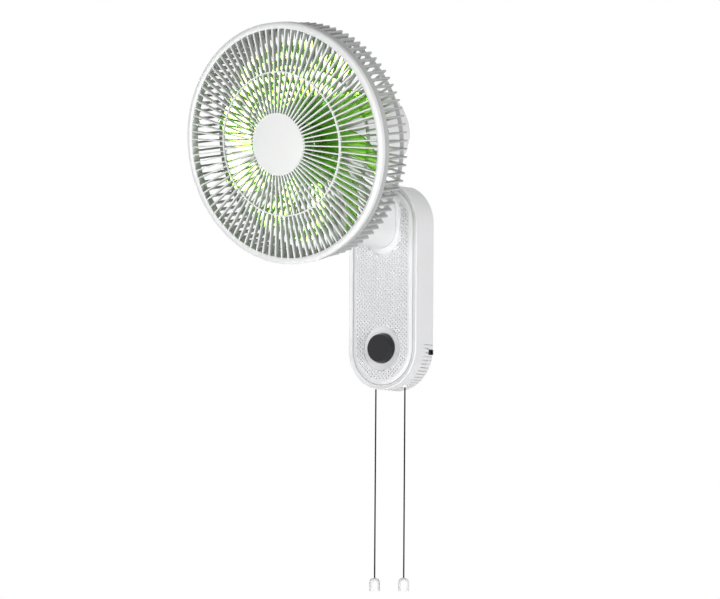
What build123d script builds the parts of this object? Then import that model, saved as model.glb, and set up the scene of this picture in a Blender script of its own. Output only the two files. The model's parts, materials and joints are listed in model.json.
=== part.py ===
from build123d import *

"""Wall mounted fan with a tilting, oscillating head, a timer knob and two pull cords.

Millimetres, +Z up. The origin is on the wall, at the centre of the four wall screws.
+X is to the right of someone facing the fan, and the fan blows towards -Y.
The base is drawn in the frame PANEL and the head in the frame SHAFT. Both have x to
the right, y up and z towards the viewer: z = 0 is the wall or the guard's front.
"""

import math
import os

# base housing
PANEL_WIDTH = 116.0
PANEL_HEIGHT = 291.0
PANEL_DEPTH = 42.0
SHELL = 2.5
EDGE_ROUND = 1.4
LAND = 1.5
GROOVE_SLOPE = 5.0
GROOVE_DEPTH = 1.6
LIP = 2.6
FIT = 0.25
SEAM = 0.3
RUNNING = 0.05
NEAR = 0.1
PLATE_BEVEL = 4.5
PLATE_PROUD = 0.6
PLATE_WALL = 2.5
PLATE_FLANGE_INSET = 3.0
PLATE_FLANGE = 2.0
DISH_RADIUS = 30.2
DISH_DEPTH = 3.8
DISH_RIM = 2.4
BACK_THICKNESS = 3.0
BACK_RECESS = 2.2
VENT_PITCH = 5.4
VENT_WIDTH = 1.6
VENT_LENGTH = 20.5
VENT_EDGE = 1.6
VENT_TOP = 94.5
VENT_SHORT = 6.0
VENT_MARGIN = 1.0
POST_RADIUS = 4.0
POST_INSET = 6.0
POST_DROP = 12.0
CASE_SCREW_RADIUS = 1.5
CASE_SCREW_LENGTH = 14.0
SCREW_HEAD_RADIUS = 3.0
SCREW_HEAD = 1.4
GUSSET = 2.4
GLAND_HEIGHT = 7.0
GLAND_DEPTH = 9.6
GLAND_LEVEL = -92.7
GLAND_EDGE = 0.6
GLAND_LENGTH = 8.0
GLAND_PROUD = 0.8
GLAND_BORE = 2.6
GLAND_ROUND = 1.2

# wall bracket
BRACKET_WIDTH = 64.0
BRACKET_HEIGHT = 172.0
BRACKET_THICKNESS = 1.6
BRACKET_CORNER = 8.0
SCREW_SPACING_X = 44.0
SCREW_SPACING_Z = 150.0
WALL_SCREW_RADIUS = 2.5
SCREW_WINDOW = 6.0
HOOK_WIDTH = 14.0
HOOK_HEIGHT = 9.0
HOOK_LEVEL = 40.0
HOOK_SLACK = 1.0

# controls
KNOB_BASE_RADIUS = 21.3
KNOB_FACE_RADIUS = 19.4
KNOB_SKIRT = 2.6
KNOB_FRONT = 51.0
KNOB_EDGE = 0.9
KNOB_GAP = 0.4
TIMER_RADIUS = 20.0
TIMER_DEPTH = 20.0
TIMER_SHAFT_RADIUS = 3.0
TIMER_SHAFT_IN = 12.0
TIMER_SHAFT_OUT = 3.0
TIMER_HOLE = 4.5
CORD_X = 25.0
CORD_DEPTH = 21.0
CORD_RADIUS = 1.05
CORD_LENGTH = 266.2
BELL_RADIUS = 7.7
BELL_HEIGHT = 18.4
BELL_DOME = 6.0
BELL_CROWN_RADIUS = 2.4
BELL_BULGE_RADIUS = 6.2
BELL_BULGE_DROP = 2.2
BUSH_RADIUS = 2.6
BUSH_COLLAR = 3.4
BUSH_LENGTH = 8.0
BUSH_SINK = 0.6
BUSH_PROUD = 1.8
SWITCH_WIDTH = 18.0
SWITCH_DEPTH = 18.0
SWITCH_HEIGHT = 20.0
SWITCH_BOTTOM = -128.0
SWITCH_WALL = 1.6
PLUNGER_HEIGHT = 4.0
SPRING_RADIUS = 4.2
SPRING_WALL = 0.6
PAD_WIDTH = 12.0
PAD_HEIGHT = 14.0
TERMINAL_Y = -8.0
TERMINAL_WIDTH = 44.0
TERMINAL_HEIGHT = 16.0
TERMINAL_DEPTH = 12.0
TERMINAL_SCREWS = 5
CAPACITOR_Y = 18.0
CAPACITOR_WIDTH = 38.0
CAPACITOR_HEIGHT = 20.0
CAPACITOR_DEPTH = 18.0
CAPACITOR_ROUND = 1.5

# neck and tilt joint
NECK_WIDTH = 52.0
NECK_BOTTOM = 53.0
NECK_HEIGHT = 76.0
NECK_SHOULDER = 112.0
NECK_WALL = 3.0
SADDLE_RADIUS = 45.0
SADDLE_REACH = 117.0
COLLAR_WIDTH = 3.3
COLLAR_HEIGHT = 5.0
COLLAR_DROP = 4.8
COLLAR_LIP = 0.65
FLANGE_EDGE = 8.0
FLANGE_THICKNESS = 3.0
NECK_POST_X = 21.2
NECK_POST_Y = 33.2
NECK_POST_RADIUS = 4.5
NECK_SCREW_RADIUS = 1.8
NECK_SCREW_HEAD_RADIUS = 2.8
NECK_SCREW_HEAD = 1.4
PIVOT_REACH = 115.0
PIVOT_HEIGHT = 125.0
HEAD_TILT = 10.3
EAR_RADIUS = 15.0
EAR_THICKNESS = 7.7
EAR_GAP = 0.3
BARREL_LENGTH = 26.0
BARREL_RADIUS = 12.0
TILT_BOLT_RADIUS = 3.0
TILT_HEAD_RADIUS = 6.5
TILT_HEAD = 3.6
YOKE_POST_RADIUS = 10.0
TURNTABLE_RADIUS = 19.0
TURNTABLE_THICKNESS = 3.0
TURNTABLE_GAP = 0.3
SPINDLE_RADIUS = 6.0
SPINDLE_SEAT = 12.0

# guard
GUARD_RADIUS = 165.0
SHAFT_ABOVE_PIVOT = 80.0
RIM_FACE = 8.6
RIM_CROWN = 1.2
RIM_EDGE = 2.0
RIM_CREST_INSET = 3.7
RIM_DEPTH = 17.5
FRONT_RIM_DEPTH = 8.0
RIM_WALL = 2.2
RIM_LEDGE = 1.8
INNER_WALL_DEPTH = 14.6
BASKET_INSET = 3.2
BASKET_DEPTH = 66.5
RIB = 5.5
RIB_THICKNESS = 2.6
RIB_ROUND = 1.1
RIB_CORNER = 1.5
SPOKE_DEPTH_HUB = 4.6
SPOKE_DEPTH_RIM = 8.0
SPOKE_THICKNESS = 1.8
SPOKE_ROUND = 0.7
SPOKE_SINK_INNER = 0.4
SPOKE_SINK_OUTER = 0.6
OUTER_SPOKES = 90
INNER_SPOKES = 60
OUTER_PHASE = 2.0
MID_RING_INSET = 66.9
MID_RING_WIDTH = 2.0
MID_RING_DEPTH = 3.0
MID_RING_PROUD = 4.5
BADGE_RADIUS = 42.6
BADGE_PROUD = 12.5
BADGE_THICKNESS = 3.0
BADGE_CROWN = 1.4
BADGE_DOME_RADIUS = 23.4
BADGE_DOME_DROP = 0.4
CENTRE_WALL = 2.6
CENTRE_EDGE = 0.4
CENTRE_DISC = 2.0
HOOP_INSET = 5.8
HOOP_WIDTH = 5.5
HOOP_THICKNESS = 2.0
HOOP_SINK = 1.8
HUB_DISC_RADIUS = 60.0
HUB_DISC_THICKNESS = 4.0
GUARD_SCREWS = 6
GUARD_SCREW_RADIUS = 1.1
GUARD_SCREW_HEAD = 2.0
GUARD_PAD_RADIUS = 2.6
GUARD_SCREW_INSET = 5.4
GUARD_SCREW_PHASE = 46.0

# impeller
BLADE_COUNT = 10
BLADE_PHASE = -3.3
BLADE_TIP_INSET = 23.8
BLADE_THICKNESS = 2.0
BLADE_CAMBER = 3.0
BLADE_OVER_HUB_REAR = 7.0
BLADE_ROOT_CHORD = 32.0
BLADE_TIP_CHORD = 51.0
BLADE_ROOT_PITCH = 36.0
BLADE_TIP_PITCH = 23.0
BLADE_SWEEP = -25.0
BLADE_STATIONS = 7
BLADE_TRIM = 3.0
PITCH_EASE = 0.8
SWEEP_EASE = 3.0
HUB_RADIUS = 36.0
HUB_LENGTH = 30.0
HUB_GAP = 1.0
HUB_WALL = 2.6
HUB_ROUND = 5.0
HUB_BOSS_RADIUS = 9.0
HUB_BOSS_SHORT = 4.0
SHAFT_RADIUS = 4.0
SPINNER_RADIUS = 15.0
SPINNER_LENGTH = 12.0
SPINNER_CAP = 3.0
SPINNER_NOTCHES = 12
SPINNER_NOTCH = 1.2

# motor
NOSE_RADIUS = 13.0
NOSE_OVER_BASKET = 11.5
NUT_RADIUS = 26.0
NUT_THICKNESS = 6.0
NUT_NOTCHES = 12
NUT_NOTCH = 2.0
NUT_NOTCH_OUT = 0.6
HOUSING_RADIUS = 61.0
HOUSING_WALL = 2.2
HOUSING_BEHIND_PAN = 85.0
SEAM_BEHIND_STATOR = 18.0
HOUSING_FRONT_ROUND = 6.0
HOUSING_REAR_ROUND = 26.0
FRAME_RADIUS = 50.0
FRAME_WALL = 3.0
STATOR_BEHIND_FRAME = 20.8
STATOR_STACK = 24.0
AIR_GAP = 0.5
ROTOR_RADIUS = 26.0
COIL_DEPTH = 12.0
COIL_GAP = 1.0
COIL_INNER = 29.0
COIL_OUTER = 45.0
BEARING_RADIUS = 8.0
BEARING_SINK = 1.0
FRONT_BEARING_LENGTH = 12.0
THROUGH_BOLTS = 4
THROUGH_BOLT_RADIUS = 1.2
THROUGH_BOLT_CIRCLE = 48.4
THROUGH_BOLT_PHASE = 45.0
BOLT_HEAD = 1.6
REAR_BOSS = 4.0
REAR_BOSS_RADIUS = 12.0
PAN_BEHIND_BOSS = 16.0
CHASSIS_WALL = 3.0
CHASSIS_HALF_WIDTH = 33.0
CHASSIS_TOP = 20.0
FLOOR_LEVEL = -46.0
FLOOR_BEHIND_PAN = 48.0
TURRET_RADIUS = 14.0
TURRET_BOTTOM = -61.3
PAN_BUSH_RADIUS = 8.5
COVER_POST_X = 40.0
COVER_POST_RADIUS = 4.0
COVER_POST_SHORT = 32.0
COVER_BOSS_RADIUS = 5.0
COVER_SCREW_RADIUS = 1.5
COVER_SCREW_LENGTH = 26.0
COVER_SCREW_SEAT = 5.0

# oscillation drive
ROCKER_ARM = 14.0
ROCKER_HUB = 10.0
ROCKER_THICKNESS = 2.4
CLIP_RADIUS = 9.0
CLIP_THICKNESS = 1.0
CRANK_BEHIND = 35.0
CRANK_THROW = 9.0
CRANK_DISC = 13.0
CRANK_THICKNESS = 2.5
CRANK_SHAFT_RADIUS = 2.5
CRANK_SHAFT_LENGTH = 9.0
LINK_THICKNESS = 2.0
LINK_WIDTH = 8.0
PIN_RADIUS = 2.0
STACK_GAP = 0.4
OSC_MOTOR_RADIUS = 24.0
OSC_MOTOR_HEIGHT = 18.0
OSC_FLANGE = 1.5
OSC_EAR = 29.0
OSC_EAR_RADIUS = 4.0
OSC_SCREW_FLOOR = 2.0

# head levels, along the shaft
RIM_INNER = GUARD_RADIUS - RIM_FACE
RIM_CREST = GUARD_RADIUS - RIM_CREST_INSET
BASKET_RADIUS = GUARD_RADIUS - BASKET_INSET
MID_RING_RADIUS = GUARD_RADIUS - MID_RING_INSET
HOOP_OUTER = BASKET_RADIUS - HOOP_INSET
HOOP_INNER = HOOP_OUTER - HOOP_WIDTH
GUARD_SCREW_CIRCLE = GUARD_RADIUS - GUARD_SCREW_INSET
BLADE_TIP_RADIUS = BASKET_RADIUS - BLADE_TIP_INSET
NOSE_FRONT = NOSE_OVER_BASKET - BASKET_DEPTH
HUB_REAR = NOSE_FRONT + HUB_GAP
HUB_FRONT = HUB_REAR + HUB_LENGTH
HUB_BOSS_REAR = HUB_REAR + HUB_BOSS_SHORT
BLADE_CENTRE = HUB_REAR + BLADE_OVER_HUB_REAR
HOUSING_FRONT = -BASKET_DEPTH - FIT
FRAME_FRONT = HOUSING_FRONT - HOUSING_WALL - FIT
STATOR_FRONT = FRAME_FRONT - STATOR_BEHIND_FRAME
STATOR_REAR = STATOR_FRONT - STATOR_STACK
FRAME_REAR = STATOR_REAR - COIL_DEPTH - COIL_GAP - FRAME_WALL
REAR_BOSS_END = FRAME_REAR - REAR_BOSS
CHASSIS_REAR = REAR_BOSS_END - CHASSIS_WALL
PAN_Z = REAR_BOSS_END - PAN_BEHIND_BOSS
CRANK_Z = PAN_Z - CRANK_BEHIND
FLOOR_REAR = PAN_Z - FLOOR_BEHIND_PAN
HOUSING_SEAM = STATOR_FRONT - SEAM_BEHIND_STATOR
HOUSING_REAR = PAN_Z - HOUSING_BEHIND_PAN
COVER_POST_REAR = HOUSING_REAR + COVER_POST_SHORT

# frames
TILT = math.radians(HEAD_TILT)
FORWARD = Vector(0, -math.cos(TILT), -math.sin(TILT))
UPWARD = Vector(0, -math.sin(TILT), math.cos(TILT))
PIVOT = Vector(0, -PIVOT_REACH, PIVOT_HEIGHT)
GUARD_CENTRE = PIVOT + UPWARD * SHAFT_ABOVE_PIVOT - FORWARD * PAN_Z
PANEL = Plane(origin=(0, 0, 0), x_dir=(1, 0, 0), z_dir=(0, -1, 0))
SHAFT = Plane(origin=GUARD_CENTRE, x_dir=(1, 0, 0), z_dir=FORWARD)

# base levels, as distances from the wall
HALF_WIDTH = PANEL_WIDTH / 2
ARC_CENTRE = (PANEL_HEIGHT - PANEL_WIDTH) / 2
BACK_FRONT = BACK_RECESS + BACK_THICKNESS
PLATE_FACE = PANEL_DEPTH + PLATE_PROUD
GROOVE_INSET = LAND + GROOVE_SLOPE
GROOVE_FLOOR = PANEL_DEPTH - GROOVE_DEPTH
LIP_BACK = GROOVE_FLOOR - LIP
PLATE_BACK = LIP_BACK - PLATE_FLANGE
DISH_SPHERE = (DISH_RADIUS**2 + DISH_DEPTH**2) / (2 * DISH_DEPTH)
DISH_FLOOR = PLATE_FACE - DISH_DEPTH
NECK_RADIUS = NECK_WIDTH / 2
NECK_CENTRE = NECK_BOTTOM + NECK_HEIGHT / 2
FLANGE_BACK = PLATE_BACK - FIT - FLANGE_THICKNESS
SWITCH_BACK = CORD_DEPTH - SWITCH_DEPTH / 2
SWITCH_TOP = SWITCH_BOTTOM + SWITCH_HEIGHT
PLUNGER_TOP = SWITCH_TOP - SWITCH_WALL - FIT
PLUNGER_BOTTOM = PLUNGER_TOP - PLUNGER_HEIGHT
CORD_EXIT = -ARC_CENTRE - math.sqrt(HALF_WIDTH**2 - CORD_X**2)
CORD_TOP = CORD_EXIT - BUSH_PROUD
BELL_TOP = CORD_TOP - CORD_LENGTH

# head levels, up from the shaft
FLOOR_TOP = FLOOR_LEVEL + CHASSIS_WALL
TURNTABLE_TOP = TURRET_BOTTOM - TURNTABLE_GAP
ROCKER_BOTTOM = FLOOR_TOP + STACK_GAP
ROCKER_TOP = ROCKER_BOTTOM + ROCKER_THICKNESS
SPINDLE_TOP = ROCKER_TOP + CLIP_THICKNESS
LINK_BOTTOM = SPINDLE_TOP + STACK_GAP
LINK_TOP = LINK_BOTTOM + LINK_THICKNESS
CRANK_BOTTOM = LINK_TOP + STACK_GAP
CRANK_TOP = CRANK_BOTTOM + CRANK_THICKNESS
OSC_BOTTOM = CRANK_TOP + STACK_GAP
BADGE_BACK = BADGE_PROUD - BADGE_THICKNESS
SPINNER_FRONT = HUB_FRONT + SPINNER_LENGTH
SHAFT_FRONT = SPINNER_FRONT - SPINNER_CAP


# ---------------------------------------------------------------- helpers
def save(frame, shape, name):
    """Places a shape that was drawn in a frame, and writes its solids as one node."""
    solids = list(shape.solids())
    body = solids[0] if len(solids) == 1 else Compound(solids)
    export_step(frame.location * body, "parts/" + name + ".step")


def slot(inset=0.0):
    """The panel's outline, drawn in by an inset."""
    return SlotOverall(PANEL_HEIGHT - 2 * inset, PANEL_WIDTH - 2 * inset, rotation=90)


def slab(inset, low, high):
    return extrude(Pos(0, 0, low) * slot(inset), high - low)


def slab_cone(inset_low, low, inset_high, high):
    """A solid between two of the panel's outlines."""
    ends = [Pos(0, 0, low) * slot(inset_low), Pos(0, 0, high) * slot(inset_high)]
    return loft(ends, ruled=True)


def neck_slot(grow=0.0, drop=0.0):
    """The neck's upright oval section, drawn out by grow and further down by drop."""
    outline = SlotOverall(NECK_HEIGHT + 2 * grow + drop, NECK_WIDTH + 2 * grow, rotation=90)
    return Pos(0, NECK_CENTRE - drop / 2) * outline


def rod(radius, low, high, x=0.0, y=0.0):
    """A round bar along z."""
    return Pos(x, y, (low + high) / 2) * Cylinder(radius, high - low)


def tube(outer, inner, low, high, x=0.0, y=0.0):
    return rod(outer, low, high, x, y) - rod(inner, low - 1, high + 1, x, y)


def post(radius, low, high, x=0.0, z=0.0):
    """A round bar along y."""
    return Pos(x, (low + high) / 2, z) * Rot(90, 0, 0) * Cylinder(radius, high - low)


def axle(radius, low, high, y=0.0, z=0.0):
    """A round bar along x."""
    return Pos((low + high) / 2, y, z) * Rot(0, 90, 0) * Cylinder(radius, high - low)


def block(x0, x1, y0, y1, z0, z1):
    middle = Pos((x0 + x1) / 2, (y0 + y1) / 2, (z0 + z1) / 2)
    return middle * Box(x1 - x0, y1 - y0, z1 - z0)


def turned(points):
    """A solid of revolution about z, from (radius, z) points."""
    outline = Plane.XZ * make_face(Polyline(*points, close=True))
    return revolve(outline, Axis.Z)


def fin(points, thickness):
    """A flat fin in the half plane y = 0, from (radius, z) points."""
    outline = Plane.XZ * make_face(Polyline(*points, close=True))
    return extrude(outline, thickness / 2, both=True)


def long_edges(bar, on_side):
    """Edges along a fin's two faces, where on_side says which."""
    return [e for e in bar.edges() if abs(e.center().Y) > NEAR and on_side(e.center())]


def around(shape, count, phase=0.0):
    """Copies of a shape, evenly spaced about z."""
    return [Rot(0, 0, phase + 360.0 * i / count) * shape for i in range(count)]


def on_circle(radius, count, phase=0.0):
    """Evenly spaced (x, y) points on a circle."""
    angles = [math.radians(phase + 360.0 * i / count) for i in range(count)]
    return [(radius * math.cos(a), radius * math.sin(a)) for a in angles]


# ---------------------------------------------------------------- wall and case
def wall_bracket():
    """Steel plate for the four wall screws, with two hooks that hold the back plate."""
    outline = RectangleRounded(BRACKET_WIDTH, BRACKET_HEIGHT, BRACKET_CORNER)
    plate = extrude(outline, BRACKET_THICKNESS)
    for x in (-SCREW_SPACING_X / 2, SCREW_SPACING_X / 2):
        for y in (-SCREW_SPACING_Z / 2, SCREW_SPACING_Z / 2):
            plate -= rod(WALL_SCREW_RADIUS, -1, BRACKET_THICKNESS + 1, x, y)
    half = HOOK_WIDTH / 2
    inside = BACK_FRONT + FIT
    outside = inside + BRACKET_THICKNESS
    for level in (-HOOK_LEVEL, HOOK_LEVEL):
        plate += block(-half, half, level, level + BRACKET_THICKNESS, 0, outside)
        plate += block(-half, half, level, level + HOOK_HEIGHT, inside, outside)
    return plate


def case_posts():
    """Places of the case screws, beside the arcs' centres and at mid height."""
    x = HALF_WIDTH - SHELL - POST_INSET
    y = ARC_CENTRE - POST_DROP
    return [(side * x, level) for side in (-1, 1) for level in (-y, 0, y)]


def neck_posts():
    corners = [(x, y) for x in (-NECK_POST_X, NECK_POST_X) for y in (-NECK_POST_Y, NECK_POST_Y)]
    return [(x, NECK_CENTRE + y) for x, y in corners]


def back_plate():
    """Back cover with hook slots, screw windows, the neck's pillars and switch pads."""
    plate = slab(SHELL + FIT, BACK_RECESS, BACK_FRONT)
    half = HOOK_WIDTH / 2 + HOOK_SLACK
    for level in (-HOOK_LEVEL, HOOK_LEVEL):
        top = level + BRACKET_THICKNESS + FIT
        plate -= block(-half, half, level - HOOK_HEIGHT - HOOK_SLACK, top, 0, BACK_FRONT + 1)
    pillars = [rod(NECK_POST_RADIUS, BACK_RECESS, FLANGE_BACK, x, y) for x, y in neck_posts()]
    pads = []
    middle = SWITCH_BOTTOM + SWITCH_HEIGHT / 2
    for x in (-CORD_X, CORD_X):
        low, high = middle - PAD_HEIGHT / 2, middle + PAD_HEIGHT / 2
        pads.append(block(x - PAD_WIDTH / 2, x + PAD_WIDTH / 2, low, high, BACK_RECESS, SWITCH_BACK))
    plate = plate.fuse(*pillars, *pads)
    for x in (-SCREW_SPACING_X / 2, SCREW_SPACING_X / 2):
        for y in (-SCREW_SPACING_Z / 2, SCREW_SPACING_Z / 2):
            plate -= rod(SCREW_WINDOW, 0, BACK_FRONT + 1, x, y)
    holes = [rod(NECK_SCREW_RADIUS, BACK_RECESS - 1, FLANGE_BACK + 1, x, y) for x, y in neck_posts()]
    holes += [rod(CASE_SCREW_RADIUS, BACK_RECESS - 1, BACK_FRONT + 1, x, y) for x, y in case_posts()]
    return plate.cut(gland_box(FIT), *holes)


def vents():
    """Slots through the wall round the case's foot, shorter at the cords and the gland."""
    cord_angle = math.degrees(math.asin(CORD_X / HALF_WIDTH))
    gland_angle = 90 + math.degrees((GLAND_LEVEL + ARC_CENTRE) / HALF_WIDTH)
    gland_front = GLAND_EDGE + GLAND_DEPTH + VENT_MARGIN
    count = int(2 * VENT_TOP / VENT_PITCH + 0.5) + 1
    cuts = []
    for i in range(count):
        angle = -VENT_TOP + i * VENT_PITCH
        low, high = VENT_EDGE, VENT_EDGE + VENT_LENGTH
        if abs(abs(angle) - cord_angle) < VENT_SHORT:
            high = CORD_DEPTH - BUSH_COLLAR - VENT_MARGIN
        if abs(angle - gland_angle) < VENT_SHORT:
            low = gland_front
        half = VENT_WIDTH / 2
        cut = block(HALF_WIDTH - 2 * SHELL, HALF_WIDTH + SHELL, -half, half, low, high)
        cuts.append(Pos(0, -ARC_CENTRE) * Rot(0, 0, angle - 90) * cut)
    return cuts


def gland_box(grow):
    """The mains gland's body, at the right side's back edge."""
    half = GLAND_HEIGHT / 2 + grow
    outside = HALF_WIDTH + GLAND_PROUD
    depth = (GLAND_EDGE - grow, GLAND_EDGE + GLAND_DEPTH + grow)
    return block(outside - GLAND_LENGTH, outside, GLAND_LEVEL - half, GLAND_LEVEL + half, *depth)


def mains_gland():
    body = gland_box(0.0)
    body = fillet(body.edges().filter_by(Axis.X), GLAND_ROUND)
    middle = GLAND_EDGE + GLAND_DEPTH / 2
    return body - axle(GLAND_BORE, 0, HALF_WIDTH + SHELL, GLAND_LEVEL, middle)


def base_housing():
    """Oval case with a grooved front lip, vents round its foot and screw posts."""
    case = slab(0, 0, PANEL_DEPTH)
    case = fillet(case.edges().group_by(Axis.Z)[-1], EDGE_ROUND)
    case -= slab_cone(GROOVE_INSET, GROOVE_FLOOR, LAND, PANEL_DEPTH)
    case -= slab(GROOVE_INSET, BACK_FRONT, PANEL_DEPTH + 1)
    case -= slab(SHELL, -1, LIP_BACK)
    posts = []
    for x, y in case_posts():
        posts.append(rod(POST_RADIUS, BACK_FRONT, PLATE_BACK - FIT, x, y))
        wall = math.copysign(HALF_WIDTH - SHELL / 2, x)
        low, high = min(x, wall), max(x, wall)
        half = GUSSET / 2
        posts.append(block(low, high, y - half, y + half, BACK_FRONT, PLATE_BACK - FIT))
    case = case.fuse(*posts)
    cuts = vents()
    screw_end = BACK_FRONT + CASE_SCREW_LENGTH
    cuts += [rod(CASE_SCREW_RADIUS, 0, screw_end, x, y) for x, y in case_posts()]
    for x in (-CORD_X, CORD_X):
        cuts.append(post(BUSH_RADIUS, CORD_EXIT - 2 * SHELL, CORD_EXIT + 4 * SHELL, x, CORD_DEPTH))
        cuts.append(post(BUSH_COLLAR, CORD_EXIT - 4 * SHELL, CORD_EXIT + BUSH_SINK, x, CORD_DEPTH))
    cuts.append(gland_box(FIT))
    return case.cut(*cuts)


def case_screws():
    screws = []
    for x, y in case_posts():
        head = rod(SCREW_HEAD_RADIUS, BACK_RECESS - SCREW_HEAD, BACK_RECESS, x, y)
        shank = rod(CASE_SCREW_RADIUS, BACK_RECESS, BACK_FRONT + CASE_SCREW_LENGTH - 1, x, y)
        screws.append(head + shank)
    return Compound(screws)


def front_plate():
    """Bevelled front plate with the knob's dish and a collar round the neck."""
    plate = slab(PLATE_FLANGE_INSET, PLATE_BACK, LIP_BACK - FIT)
    inset = GROOVE_INSET + FIT
    plate += slab(inset, PLATE_BACK, GROOVE_FLOOR)
    plate += slab_cone(inset, GROOVE_FLOOR, inset + PLATE_BEVEL, PLATE_FACE)
    collar = [
        Pos(0, 0, PLATE_FACE) * neck_slot(COLLAR_WIDTH, COLLAR_DROP),
        Pos(0, 0, PLATE_FACE + COLLAR_HEIGHT) * neck_slot(COLLAR_LIP),
    ]
    plate += loft(collar, ruled=True)
    pocket = slab(inset + PLATE_BEVEL, PLATE_BACK - 1, PLATE_FACE - PLATE_WALL)
    pocket -= rod(DISH_RADIUS + DISH_RIM, 0, PANEL_DEPTH, 0, -ARC_CENTRE)
    pocket -= extrude(neck_slot(FLANGE_EDGE), PANEL_DEPTH)
    plate -= pocket
    plate -= Pos(0, -ARC_CENTRE, DISH_FLOOR + DISH_SPHERE) * Sphere(DISH_SPHERE)
    plate -= rod(TIMER_HOLE, 0, PANEL_DEPTH, 0, -ARC_CENTRE)
    return plate - extrude(neck_slot(FIT), 2 * PANEL_DEPTH)


# ---------------------------------------------------------------- controls
def timer_unit():
    """Clockwork timer behind the dish, with a bore for the knob's shaft."""
    body = rod(TIMER_RADIUS, PLATE_BACK - TIMER_DEPTH, PLATE_BACK, 0, -ARC_CENTRE)
    bore = TIMER_SHAFT_RADIUS + RUNNING
    return body - rod(bore, PLATE_BACK - TIMER_SHAFT_IN - 1, PANEL_DEPTH, 0, -ARC_CENTRE)


def timer_shaft():
    front = KNOB_FRONT - TIMER_SHAFT_OUT
    return rod(TIMER_SHAFT_RADIUS, PLATE_BACK - TIMER_SHAFT_IN, front, 0, -ARC_CENTRE)


def knob():
    """Round timer knob with a skirt and a tapered side."""
    rise = DISH_SPHERE - math.sqrt(DISH_SPHERE**2 - KNOB_BASE_RADIUS**2)
    back = DISH_FLOOR + rise + KNOB_GAP
    profile = [
        (0, back),
        (KNOB_BASE_RADIUS, back),
        (KNOB_BASE_RADIUS, back + KNOB_SKIRT),
        (KNOB_FACE_RADIUS, KNOB_FRONT - KNOB_EDGE),
        (KNOB_FACE_RADIUS - KNOB_EDGE, KNOB_FRONT),
        (0, KNOB_FRONT),
    ]
    body = Pos(0, -ARC_CENTRE) * turned(profile)
    return body - timer_shaft()


def pull_switch(x):
    """Snap switch box with a chamber for the plunger and its spring."""
    half, deep = SWITCH_WIDTH / 2, SWITCH_DEPTH / 2
    box = block(x - half, x + half, SWITCH_BOTTOM, SWITCH_TOP, CORD_DEPTH - deep, CORD_DEPTH + deep)
    low, high = SWITCH_BOTTOM + SWITCH_WALL, SWITCH_TOP - SWITCH_WALL
    box -= post(half - SWITCH_WALL, low, high, x, CORD_DEPTH)
    return box - post(CORD_RADIUS + RUNNING, SWITCH_BOTTOM - 1, low + 1, x, CORD_DEPTH)


def pull_plunger(x):
    """Plunger with the stem that the pull cord hangs from."""
    head = SWITCH_WIDTH / 2 - SWITCH_WALL - FIT
    body = post(head, PLUNGER_BOTTOM, PLUNGER_TOP, x, CORD_DEPTH)
    return body + post(CORD_RADIUS, CORD_TOP, PLUNGER_BOTTOM, x, CORD_DEPTH)


def pull_spring(x):
    low = SWITCH_BOTTOM + SWITCH_WALL
    body = post(SPRING_RADIUS, low, PLUNGER_BOTTOM, x, CORD_DEPTH)
    return body - post(SPRING_RADIUS - SPRING_WALL, low - 1, PLUNGER_BOTTOM + 1, x, CORD_DEPTH)


def pull_cord(x):
    return post(CORD_RADIUS, BELL_TOP, CORD_TOP, x, CORD_DEPTH)


def cord_bell(x):
    """Pull on the cord's end, domed at the top and flat below."""
    shoulder = BELL_TOP - BELL_DOME
    foot = BELL_TOP - BELL_HEIGHT
    dome = ThreePointArc(
        (BELL_CROWN_RADIUS, BELL_TOP),
        (BELL_BULGE_RADIUS, BELL_TOP - BELL_BULGE_DROP),
        (BELL_RADIUS, shoulder),
    )
    side = Polyline((BELL_RADIUS, shoulder), (BELL_RADIUS, foot), (0, foot), (0, BELL_TOP), dome @ 0)
    body = revolve(make_face(dome + side), Axis.Y)
    return Pos(x, 0, CORD_DEPTH) * body


def cord_bushes():
    bushes = []
    for x in (-CORD_X, CORD_X):
        body = post(BUSH_RADIUS, CORD_EXIT, CORD_EXIT + BUSH_LENGTH, x, CORD_DEPTH)
        body += post(BUSH_COLLAR, CORD_TOP, CORD_EXIT + BUSH_SINK, x, CORD_DEPTH)
        bore = CORD_RADIUS + RUNNING
        body -= post(bore, CORD_TOP - 1, CORD_EXIT + BUSH_LENGTH + 1, x, CORD_DEPTH)
        bushes.append(body)
    return Compound(bushes)


def terminal_block():
    """Screw terminals that join the mains lead, the switches and the motor leads."""
    half, tall = TERMINAL_WIDTH / 2, TERMINAL_HEIGHT / 2
    top = BACK_FRONT + TERMINAL_DEPTH
    body = block(-half, half, TERMINAL_Y - tall, TERMINAL_Y + tall, BACK_FRONT, top)
    pitch = TERMINAL_WIDTH / TERMINAL_SCREWS
    for i in range(TERMINAL_SCREWS):
        x = -half + pitch * (i + 0.5)
        body -= rod(pitch / 3, top - TERMINAL_DEPTH / 3, top + 1, x, TERMINAL_Y)
    return body


def run_capacitor():
    half, tall = CAPACITOR_WIDTH / 2, CAPACITOR_HEIGHT / 2
    top = BACK_FRONT + CAPACITOR_DEPTH
    body = block(-half, half, CAPACITOR_Y - tall, CAPACITOR_Y + tall, BACK_FRONT, top)
    return fillet(body.edges().group_by(Axis.Z)[-1], CAPACITOR_ROUND)


# ---------------------------------------------------------------- neck
def neck_form(grow):
    """The neck's form: an upright oval that runs out to a round nose below the pivot."""
    radius = NECK_RADIUS + grow
    low = NECK_BOTTOM + NECK_RADIUS
    form = extrude(Pos(0, 0, FLANGE_BACK) * neck_slot(grow), PIVOT_REACH - FLANGE_BACK)
    form += post(radius, low, NECK_SHOULDER + grow, 0, PIVOT_REACH)
    form += Pos(0, low, PIVOT_REACH) * Sphere(radius)
    top = NECK_SHOULDER + SADDLE_RADIUS
    return form - axle(SADDLE_RADIUS - grow, -PANEL_WIDTH, PANEL_WIDTH, top, SADDLE_REACH)


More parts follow.
